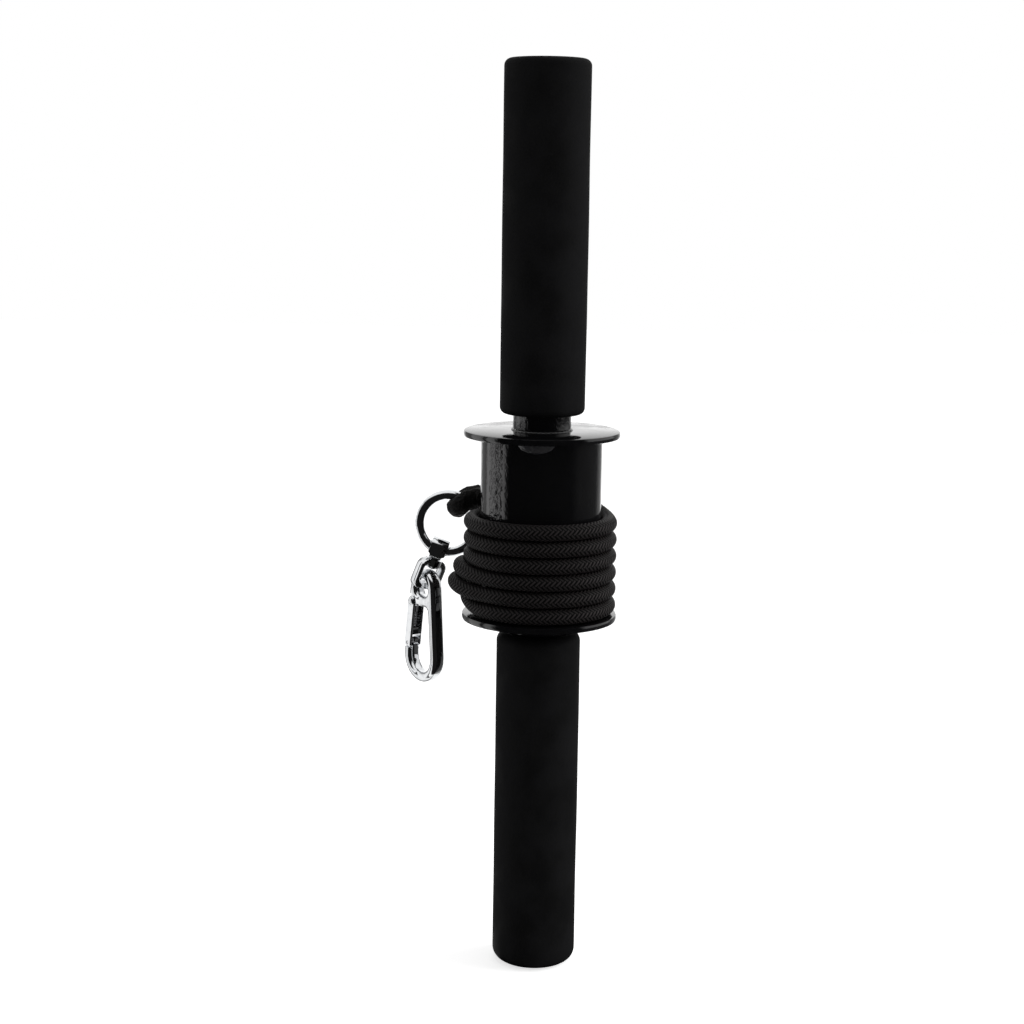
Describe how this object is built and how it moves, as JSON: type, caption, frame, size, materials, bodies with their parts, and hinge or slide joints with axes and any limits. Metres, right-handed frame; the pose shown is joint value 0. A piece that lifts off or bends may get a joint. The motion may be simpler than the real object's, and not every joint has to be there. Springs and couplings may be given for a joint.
{
  "type": "wrist roller",
  "caption": "Forearm training roller: a foam-gripped tube with a welded spool, a rope wound on it, and a split ring, swivel and snap hook at the end of the rope for hanging a weight.",
  "frame": {"origin": "centre of the lower grip's flat end, on the tube's axis", "axes": "+Z along the tube from the lower grip to the upper one; -Y towards the viewer; the rope's end hangs on the -X side"},
  "size_m": [0.0964, 0.0755, 0.4],
  "materials": {
    "black_gloss_paint": "gloss with orange peel",
    "black_foam": "matt closed-cell foam",
    "black_plastic": "matt",
    "shrink_sleeve": "satin shrink tube",
    "black_rope": "braided",
    "bright_plate": "bright plated",
    "plain_steel": "plain"
  },
  "bodies": {
    "roller": {"handle_tube": "black_gloss_paint", "lower_end_plug": "black_plastic", "upper_end_plug": "black_plastic", "lower_grip": "black_foam", "upper_grip": "black_foam", "drum_shell": "black_gloss_paint", "lower_flange": "black_gloss_paint", "upper_flange": "black_gloss_paint", "lower_neck_weld": "black_gloss_paint", "upper_neck_weld": "black_gloss_paint", "upper_tack_weld_1": "black_gloss_paint", "upper_tack_weld_2": "black_gloss_paint", "upper_tack_weld_3": "black_gloss_paint", "rope_stop": "plain_steel", "rope_winding": "black_rope", "rope_tail": "black_rope", "rope_sleeve": "shrink_sleeve", "rope_eye": "shrink_sleeve"},
    "ring": {"split_ring": "bright_plate"},
    "swivel": {"swivel_eye": "bright_plate"},
    "bow": {"swivel_bow": "bright_plate"},
    "snap": {"snap_body": "bright_plate", "gate_rivet": "bright_plate"},
    "gate": {"gate": "bright_plate", "gate_plunger": "plain_steel", "gate_spring": "plain_steel", "latch_pin": "plain_steel"}
  },
  "joints": [
    {"name": "ring_swing", "type": "hinge", "parent": "roller", "child": "ring", "pos_m": [-0.03439, 0.029, 0.20578], "axis": [-0.829, 0, 0.5592], "range_deg": [-60, 30]},
    {"name": "swivel_tip", "type": "hinge", "parent": "ring", "child": "swivel", "pos_m": [-0.04655, 0.029, 0.18243], "axis": [0.9336, 0, -0.3584], "range_deg": [-35, 35]},
    {"name": "swivel_spin", "type": "hinge", "parent": "swivel", "child": "bow", "pos_m": [-0.04655, 0.029, 0.18243], "axis": [-0.3584, 0, -0.9336], "continuous": true},
    {"name": "snap_swing", "type": "hinge", "parent": "bow", "child": "snap", "pos_m": [-0.05184, 0.02976, 0.16572], "axis": [0.7553, 0.5878, -0.2899], "range_deg": [-50, 70]},
    {"name": "gate_open", "type": "hinge", "parent": "snap", "child": "gate", "pos_m": [-0.05655, 0.03538, 0.15742], "axis": [-0.766, -0.6428, 0], "range_deg": [0, 35], "stiffness_Nm_per_rad": 0.02, "springref_deg": -20.05}
  ]
}
